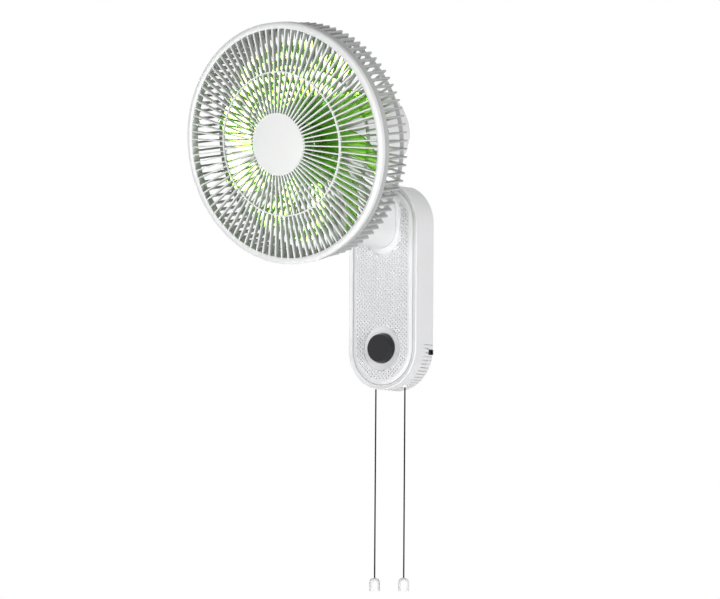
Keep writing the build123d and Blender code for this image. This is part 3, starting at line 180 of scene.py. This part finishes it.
def tinted(name, colour):
    """Clear tinted plastic of the blades: light passes through, with flow lines and a soft sheen."""
    material, tree, shader = new_material(name)
    flow = noise(tree, 16.0, 3.0, 0.5)
    tone = ramp(tree, flow, 0.3, 0.7, [shade(colour, 0.93), shade(colour, 1.05)])
    tree.links.new(tone, shader.inputs["Base Color"])
    add_bump(tree, shader, noise(tree, 120.0, 2.0), 0.12, 0.0002)
    shader.inputs["Roughness"].default_value = 0.12
    shader.inputs["IOR"].default_value = 1.49
    shader.inputs["Transmission Weight"].default_value = 0.92
    return material


def laminated(name, colour):
    """Stacked sheet steel: thin dark lines across the shaft's direction."""
    material, tree, shader = new_material(name)
    coordinates = tree.nodes.new("ShaderNodeTexCoord")
    turn_node = tree.nodes.new("ShaderNodeMapping")
    turn_node.inputs["Rotation"].default_value = (-HEAD_TILT, 0, 0)
    tree.links.new(coordinates.outputs["Object"], turn_node.inputs["Vector"])
    wave = tree.nodes.new("ShaderNodeTexWave")
    wave.bands_direction = "Y"
    wave.inputs["Scale"].default_value = 320.0
    wave.inputs["Distortion"].default_value = 0.4
    tree.links.new(turn_node.outputs["Vector"], wave.inputs["Vector"])
    tone = ramp(tree, wave.outputs["Fac"], 0.1, 0.5, [shade(colour, 0.45), colour])
    tree.links.new(tone, shader.inputs["Base Color"])
    add_bump(tree, shader, wave.outputs["Fac"], 0.5, 0.0002)
    shader.inputs["Metallic"].default_value = 0.9
    shader.inputs["Roughness"].default_value = 0.45
    return material


def wound(name, colour):
    """Enamelled copper wire, wound in turns."""
    material, tree, shader = new_material(name)
    turns = noise(tree, 260.0, 2.0, 0.5, (1.0, 7.0, 1.0))
    tone = ramp(tree, turns, 0.3, 0.7, [shade(colour, 0.5), shade(colour, 1.2)])
    tree.links.new(tone, shader.inputs["Base Color"])
    add_bump(tree, shader, turns, 0.7, 0.0004)
    shader.inputs["Metallic"].default_value = 0.7
    shader.inputs["Roughness"].default_value = 0.32
    return material


def braided(name, colour):
    """Fine braided cord: two crossing sets of diagonal ridges."""
    material, tree, shader = new_material(name)
    coordinates = tree.nodes.new("ShaderNodeTexCoord")
    heights = []
    for lean in (-0.9, 0.9):
        mapping = tree.nodes.new("ShaderNodeMapping")
        mapping.inputs["Rotation"].default_value = (lean, 0, 0.6)
        tree.links.new(coordinates.outputs["Object"], mapping.inputs["Vector"])
        wave = tree.nodes.new("ShaderNodeTexWave")
        wave.bands_direction = "Z"
        wave.inputs["Scale"].default_value = 380.0
        wave.inputs["Distortion"].default_value = 0.6
        tree.links.new(mapping.outputs["Vector"], wave.inputs["Vector"])
        heights.append(wave.outputs["Fac"])
    join = tree.nodes.new("ShaderNodeMath")
    join.operation = "MULTIPLY"
    tree.links.new(heights[0], join.inputs[0])
    tree.links.new(heights[1], join.inputs[1])
    tone = ramp(tree, join.outputs[0], 0.0, 0.7, [shade(colour, 0.35), shade(colour, 1.3)])
    tree.links.new(tone, shader.inputs["Base Color"])
    add_bump(tree, shader, join.outputs[0], 0.8, 0.0003)
    shader.inputs["Roughness"].default_value = 0.8
    shader.inputs["Specular IOR Level"].default_value = 0.0
    return material


MATERIALS = {
    "case": plastic("white_case", (0.80, 0.80, 0.81), 0.34),
    "front_plate": plastic("pale_plate", (0.77, 0.77, 0.785), 0.42),
    "guard": plastic("white_guard", (0.80, 0.81, 0.805), 0.3),
    "badge": plastic("plain_badge", (0.84, 0.85, 0.84), 0.28),
    # rear guard: the real plastic is white like the front guard; this darker grey is painted shade for
    # the dim inside of the guard basket
    "rear_guard": plastic("guard_grey_painted_shade", (0.47, 0.47, 0.475), 0.36, shine=0.3),
    "blades": tinted("lime_blades", (0.46, 0.98, 0.16)),
    "knob": plastic("black_knob", (0.022, 0.022, 0.024), 0.14, shine=0.25),
    "black_plastic": plastic("black_plastic", (0.014, 0.014, 0.015), 0.5, shine=0.2),
    "bell": plastic("white_bell", (0.82, 0.82, 0.82), 0.5),
    "cord": braided("black_cord", (0.022, 0.022, 0.024)),
    "housing": plastic("white_housing", (0.78, 0.78, 0.785), 0.28, grain=900.0),
    "zinc_steel": metal("zinc_steel", (0.62, 0.63, 0.64)),
    "black_steel": metal("black_steel", (0.05, 0.05, 0.055), 0.35),
    "cast": metal("die_cast", (0.55, 0.56, 0.57), 0.5, (1.0, 1.0, 1.0), 900.0),
    "laminations": laminated("laminations", (0.20, 0.20, 0.21)),
    "windings": wound("windings", (0.50, 0.20, 0.08)),
    "bronze": metal("sintered_bronze", (0.60, 0.45, 0.25), 0.45, (1.0, 1.0, 1.0), 1400.0),
    "nylon": plastic("natural_nylon", (0.80, 0.79, 0.74), 0.55),
}
SLOTS = {part["node"]: part["material_slot"] for part in frame["record"]["subparts"]}
for node, solid in NODES.items():
    for material_slot in solid.material_slots:
        material_slot.material = MATERIALS[SLOTS[node]]


# ---------------------------------------------------------------- pull cords
CORD_TOP = -141.635
BELL_TOP = -407.835
CORD_OUT = 21.0
CORD_THICKNESS = 2.1
CORD_RUNS = 5
for name, x in (("speed", -CORD_X), ("swing", CORD_X)):
    curve = bpy.data.curves.new(name + "_pull_cord", "CURVE")
    curve.dimensions = "3D"
    curve.bevel_depth = CORD_THICKNESS / 2 * MM
    curve.bevel_resolution = 5
    curve.resolution_u = 12
    curve.use_fill_caps = True
    spline = curve.splines.new("NURBS")
    spline.points.add(CORD_RUNS)
    for i, point in enumerate(spline.points):
        level = CORD_TOP + (BELL_TOP - CORD_TOP) * i / CORD_RUNS
        point.co = (*on_panel(x, level, CORD_OUT), 1)
    spline.order_u = 3
    spline.use_endpoint_u = True
    curve.materials.append(MATERIALS["cord"])
    piece = bpy.data.objects.new(name + "_pull_cord", curve)
    bpy.context.scene.collection.objects.link(piece)
    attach(piece, name + "_pull")
    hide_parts(name + "_cord")


# ---------------------------------------------------------------- mesh helpers
def add_piece(name, mesh, body, slot_name, nodes=(), sharp=30.0):
    """Links a mesh as a piece that rides on a body and takes a slot's material."""
    mesh.materials.append(MATERIALS[slot_name])
    mesh.polygons.foreach_set("use_smooth", [True] * len(mesh.polygons))
    mesh.set_sharp_from_angle(angle=math.radians(sharp))
    piece = bpy.data.objects.new(name, mesh)
    bpy.context.scene.collection.objects.link(piece)
    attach(piece, body)
    if nodes:
        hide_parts(*nodes)


def finish_mesh(name, build, merge=0.0):
    """Turns a bmesh into a mesh, with doubles merged and faces turned outward."""
    if merge:
        bmesh.ops.remove_doubles(build, verts=build.verts, dist=merge)
    bmesh.ops.recalc_face_normals(build, faces=build.faces)
    mesh = bpy.data.meshes.new(name)
    build.to_mesh(mesh)
    build.free()
    return mesh


def skin(build, loops):
    """Quads between neighbouring closed loops of points."""
    rings = [[build.verts.new(point) for point in loop] for loop in loops]
    for first, second in zip(rings, rings[1:]):
        count = len(first)
        for i in range(count):
            j = (i + 1) % count
            build.faces.new((first[i], first[j], second[j], second[i]))
    return rings


def stadium(half_width, centre, half_run, steps=48):
    """An upright oval: two half circles joined by straight sides."""
    points = []
    for side in (1, -1):
        for i in range(steps + 1):
            angle = math.pi * i / steps + (0 if side > 0 else math.pi)
            x = half_width * math.cos(angle)
            points.append((x, centre + side * half_run + half_width * math.sin(angle)))
    return points


def circle(radius, centre, steps=96):
    x, y = centre
    angles = [TAU * i / steps for i in range(steps)]
    return [(x + radius * math.cos(angle), y + radius * math.sin(angle)) for angle in angles]


def fill_plane(build, loops, place_point, keep):
    """Triangles of a flat area with many loops in it, where keep says which triangles stay."""
    points, edges = [], []
    for loop in loops:
        start = len(points)
        points += [Vector(p) for p in loop]
        edges += [(start + i, start + (i + 1) % len(loop)) for i in range(len(loop))]
    found = delaunay_2d_cdt(points, edges, [], 1, 1e-5)
    verts = [build.verts.new(place_point(p)) for p in found[0]]
    for face in found[2]:
        middle = sum((found[0][i] for i in face), Vector((0, 0))) / len(face)
        if keep(middle):
            build.faces.new([verts[i] for i in face])


# ---------------------------------------------------------------- dimpled front plate
PLATE_FACE = 42.6
PLATE_BACK = 35.8
DISH_RADIUS = 30.2
DISH_DEPTH = 3.8
DISH_SPHERE = (DISH_RADIUS**2 + DISH_DEPTH**2) / (2 * DISH_DEPTH)
NECK_HALF = 26.0
NECK_CENTRE = 91.0
NECK_RUN = 12.0
COLLAR_DROP = 4.8
FOOT_CENTRE = NECK_CENTRE - COLLAR_DROP / 2
FOOT_RUN = NECK_RUN + COLLAR_DROP / 2
DIMPLE_PITCH = 6.0
DIMPLE_RADIUS = 1.4
DIMPLE_DEPTH = 2.1
DIMPLE_SIDES = 10
DIMPLE_EDGE = 15.0
DIMPLE_COLUMNS = 10
DIMPLE_OFF_DISH = 2.0
DIMPLE_OFF_NECK = 5.6
# share of a dimple's radius, share of its depth
DIMPLE_RINGS = ((1.0, 0.0), (0.86, 0.5), (0.5, 0.92))
FACE_INSET = 11.9
BACK_INSET = 3.0
COLLAR_GROW = 3.3
NECK_GAP = 0.25
DISH_EDGE = 1.0
SHAFT_HOLE = 4.5
OVERLAP = 0.1
MERGE = 1e-7
# inset from the case's outline, distance from the wall
PLATE_EDGE = (
    (FACE_INSET, PLATE_FACE), (11.25, PLATE_FACE - 0.08), (10.6, 42.28), (9.0, 41.5), (7.4, 40.72),
    (7.25, 40.6), (7.1, 40.3), (7.1, 37.55), (BACK_INSET, 37.55), (BACK_INSET, PLATE_BACK),
)
# distance from the neck, share of the collar's drop, distance from the wall
COLLAR = (
    (COLLAR_GROW, 1.0, PLATE_FACE), (3.28, 0.98, 43.1), (3.1, 0.93, 43.55), (2.75, 0.86, 43.9),
    (2.3, 0.74, 44.3), (1.85, 0.6, 44.9), (1.4, 0.44, 45.7), (1.05, 0.28, 46.7), (0.82, 0.12, 47.5),
    (0.65, 0.04, 47.75), (0.4, 0.0, 47.7), (NECK_GAP, 0.0, 47.4), (NECK_GAP, 0.0, PLATE_BACK),
)
# distance outside the dish's radius, depth below the face
DISH_GROOVE = ((DISH_EDGE, 0.0), (0.85, 0.15), (0.7, 1.2), (0.1, 1.25))
DISH_STEPS = 8
DISH_START = DISH_RADIUS - 0.3


def panel_outline(inset):
    return stadium(PANEL_HALF - inset, 0.0, ARC)


def neck_outline(grow, drop=0.0):
    return stadium(NECK_HALF + grow, NECK_CENTRE - drop / 2, NECK_RUN + drop / 2, 36)


def oval_distance(x, y, centre, run):
    """Distance of a point from the middle line of an upright oval."""
    return math.hypot(x, max(0.0, abs(y - centre) - run))


def dimple_places():
    """Staggered rows over the flat, clear of the dish and of the neck's collar."""
    places = []
    rows = int(PANEL_HALF + ARC)
    for row in range(-rows, rows + 1):
        y = row * DIMPLE_PITCH / 2
        for column in range(-DIMPLE_COLUMNS, DIMPLE_COLUMNS + 1):
            x = (column + (row % 2) / 2) * DIMPLE_PITCH
            in_field = oval_distance(x, y, 0.0, ARC) < PANEL_HALF - DIMPLE_EDGE
            off_dish = math.hypot(x, y + ARC) > DISH_RADIUS + DIMPLE_OFF_DISH
            off_neck = oval_distance(x, y, FOOT_CENTRE, FOOT_RUN) > NECK_HALF + DIMPLE_OFF_NECK
            if in_field and off_dish and off_neck:
                places.append((x, y))
    return places


def front_plate():
    """The dimpled face, the bevelled edge, the neck's collar, the knob's dish and the back."""
    build = bmesh.new()
    dimples = dimple_places()
    rims = [circle(DIMPLE_RADIUS, p, DIMPLE_SIDES) for p in dimples]
    rows = {}
    for x, y in dimples:
        rows.setdefault(round(y / (DIMPLE_PITCH / 2)), []).append(x)

    def keep(p):
        if oval_distance(p.x, p.y, FOOT_CENTRE, FOOT_RUN) < NECK_HALF + COLLAR_GROW - OVERLAP:
            return False
        if math.hypot(p.x, p.y + ARC) < DISH_RADIUS + DISH_EDGE - OVERLAP:
            return False
        row = round(p.y / (DIMPLE_PITCH / 2))
        for near in (row - 1, row, row + 1):
            for x in rows.get(near, ()):
                if math.hypot(p.x - x, p.y - near * DIMPLE_PITCH / 2) < DIMPLE_RADIUS * 0.9:
                    return False
        return True

    def face_point(p):
        return on_panel(p[0], p[1], PLATE_FACE)

    loops = [
        panel_outline(FACE_INSET),
        neck_outline(COLLAR_GROW, COLLAR_DROP),
        circle(DISH_RADIUS + DISH_EDGE, (0, -ARC)),
    ]
    fill_plane(build, loops + rims, face_point, keep)
    for x, y in dimples:
        rings = []
        for width, depth in DIMPLE_RINGS:
            ring = circle(DIMPLE_RADIUS * width, (x, y), DIMPLE_SIDES)
            rings.append([on_panel(*p, PLATE_FACE - depth * DIMPLE_DEPTH) for p in ring])
        inner = skin(build, rings)[-1]
        bottom = build.verts.new(on_panel(x, y, PLATE_FACE - DIMPLE_DEPTH))
        for i in range(DIMPLE_SIDES):
            build.faces.new((inner[i], inner[(i + 1) % DIMPLE_SIDES], bottom))
    skin(build, [[on_panel(*p, out) for p in panel_outline(inset)] for inset, out in PLATE_EDGE])
    skin(build, [
        [on_panel(*p, out) for p in neck_outline(grow, drop * COLLAR_DROP)] for grow, drop, out in COLLAR
    ])
    dish = [(DISH_RADIUS + grow, PLATE_FACE - drop) for grow, drop in DISH_GROOVE]
    floor_level = PLATE_FACE - DISH_DEPTH
    for i in range(DISH_STEPS + 1):
        radius = DISH_START - i * (DISH_START - SHAFT_HOLE) / DISH_STEPS
        dish.append((radius, floor_level + DISH_SPHERE - math.sqrt(DISH_SPHERE**2 - radius**2)))
    dish.append((SHAFT_HOLE, PLATE_BACK))
    skin(build, [[on_panel(*p, out) for p in circle(radius, (0, -ARC))] for radius, out in dish])

    def back_point(p):
        return on_panel(p[0], p[1], PLATE_BACK)

    def keep_back(p):
        in_neck = oval_distance(p.x, p.y, NECK_CENTRE, NECK_RUN) < NECK_HALF + OVERLAP
        return not in_neck and math.hypot(p.x, p.y + ARC) > SHAFT_HOLE - OVERLAP

    loops = [panel_outline(BACK_INSET), neck_outline(NECK_GAP), circle(SHAFT_HOLE, (0, -ARC))]
    fill_plane(build, loops, back_point, keep_back)
    return finish_mesh("front_plate_dimpled", build, MERGE)


add_piece("front_plate_dimpled", front_plate(), "base", "front_plate", ["front_plate"], 24.0)


# ---------------------------------------------------------------- screen behind the vents
# angles in degrees round the foot, from straight down
VENT_TOP = 94.5
VENT_PITCH = 5.4
VENT_SHORT = 6.0
CORD_ANGLE = math.degrees(math.asin(CORD_X / PANEL_HALF))
GLAND_LEVEL = 92.7
GLAND_ANGLE = 90 + math.degrees((ARC - GLAND_LEVEL) / PANEL_HALF)
# distances from the wall
SCREEN_LOW = 3.2
SCREEN_HIGH = 22.5
SCREEN_LOW_AT_GLAND = 11.0
SCREEN_HIGH_AT_CORD = 16.9
SCREEN_RADII = (53.9, 54.5)
SCREEN_HALF_WIDTH = 2.2
BOX_FACES = ((0, 1, 3, 2), (4, 6, 7, 5), (0, 4, 5, 1), (2, 3, 7, 6), (0, 2, 6, 4), (1, 5, 7, 3))


def vent_screen():
    """A thin strip inside the wall behind each vent."""
    build = bmesh.new()
    count = round(2 * VENT_TOP / VENT_PITCH) + 1
    for i in range(count):
        angle = i * VENT_PITCH - VENT_TOP
        low, high = SCREEN_LOW, SCREEN_HIGH
        if abs(abs(angle) - CORD_ANGLE) < VENT_SHORT:
            high = SCREEN_HIGH_AT_CORD
        if abs(angle - GLAND_ANGLE) < VENT_SHORT:
            low = SCREEN_LOW_AT_GLAND
        spin = math.radians(angle - 90)
        outward = Vector((math.cos(spin), math.sin(spin)))
        along = Vector((-outward.y, outward.x))
        corners = []
        for radius in SCREEN_RADII:
            for side in (-1, 1):
                for out in (low, high):
                    spot = outward * radius + along * SCREEN_HALF_WIDTH * side
                    corners.append(build.verts.new(on_panel(spot.x, spot.y - ARC, out)))
        for face in BOX_FACES:
            build.faces.new([corners[k] for k in face])
    return finish_mesh("vent_screen", build)


add_piece("vent_screen", vent_screen(), "base", "case")


# ---------------------------------------------------------------- studio, in metres
FLOOR_LEVEL = -1.60
FLOOR_RADII = (2.7, 9.0)
FLOOR_STEPS = 24
FLOOR_GLOW = 0.62
FAN_MIDDLE = (0, -0.15, 0.0)


def seen_rays(tree):
    """1 for what the camera sees, also in gloss and through glass; 0 for light."""
    path = tree.nodes.new("ShaderNodeLightPath")
    level = path.outputs["Is Camera Ray"]
    for output in ("Is Glossy Ray", "Is Transmission Ray"):
        join = tree.nodes.new("ShaderNodeMath")
        join.operation = "MAXIMUM"
        tree.links.new(level, join.inputs[0])
        tree.links.new(path.outputs[output], join.inputs[1])
        level = join.outputs[0]
    return level


def add_floor():
    """A pale round floor, far below the fan."""
    build = bmesh.new()
    for spread in FLOOR_RADII:
        for i in range(FLOOR_STEPS):
            angle = TAU * i / FLOOR_STEPS
            build.verts.new((spread * math.cos(angle), spread * math.sin(angle), FLOOR_LEVEL))
    build.verts.ensure_lookup_table()
    build.faces.new([build.verts[i] for i in range(FLOOR_STEPS)])
    for i in range(FLOOR_STEPS):
        j = (i + 1) % FLOOR_STEPS
        build.faces.new([build.verts[k] for k in (i, j, FLOOR_STEPS + j, FLOOR_STEPS + i)])
    mesh = bpy.data.meshes.new("floor")
    build.to_mesh(mesh)
    build.free()
    material, tree, shader = new_material("floor")
    tone = ramp(tree, noise(tree, 2.0, 2.0), 0.3, 0.7, [grey(0.80), grey(0.82)])
    tree.links.new(tone, shader.inputs["Base Color"])
    shader.inputs["Roughness"].default_value = 0.9
    glow = tree.nodes.new("ShaderNodeMath")
    glow.operation = "MULTIPLY"
    glow.inputs[1].default_value = FLOOR_GLOW
    tree.links.new(seen_rays(tree), glow.inputs[0])
    tree.links.new(glow.outputs[0], shader.inputs["Emission Strength"])
    shader.inputs["Emission Color"].default_value = (1, 1, 1, 1)
    mesh.materials.append(material)
    floor = bpy.data.objects.new("floor", mesh)
    bpy.context.scene.collection.objects.link(floor)


def add_lamp(name, place_at, size, power):
    """A square area lamp that looks at the fan's middle."""
    data = bpy.data.lights.new(name, "AREA")
    data.shape = "SQUARE"
    data.size = size
    data.energy = power
    lamp = bpy.data.objects.new(name, data)
    bpy.context.scene.collection.objects.link(lamp)
    direction = Vector(FAN_MIDDLE) - Vector(place_at)
    lamp.rotation_euler = direction.to_track_quat("-Z", "Y").to_euler()
    lamp.location = place_at


def add_world(ambient):
    """White to the camera, and in gloss and glass; a softer white as light."""
    world = bpy.data.worlds.new("studio")
    world.use_nodes = True
    bpy.context.scene.world = world
    tree = world.node_tree
    background = tree.nodes["Background"]
    background.inputs["Color"].default_value = (1, 1, 1, 1)
    spread = tree.nodes.new("ShaderNodeMapRange")
    spread.inputs["To Min"].default_value = ambient
    spread.inputs["To Max"].default_value = 1.0
    tree.links.new(seen_rays(tree), spread.inputs["Value"])
    tree.links.new(spread.outputs["Result"], background.inputs["Strength"])


add_floor()
add_lamp("key", (-0.6, -4.0, -1.05), 1.0, 90)
add_lamp("side", (3.5, -0.9, -0.4), 1.2, 84)
add_lamp("top", (-0.6, -0.9, 3.7), 1.2, 5)
add_lamp("back", (-2.2, 3.3, 0.6), 1.2, 70)
add_world(ambient=0.17)
bpy.context.scene.view_settings.view_transform = "Standard"
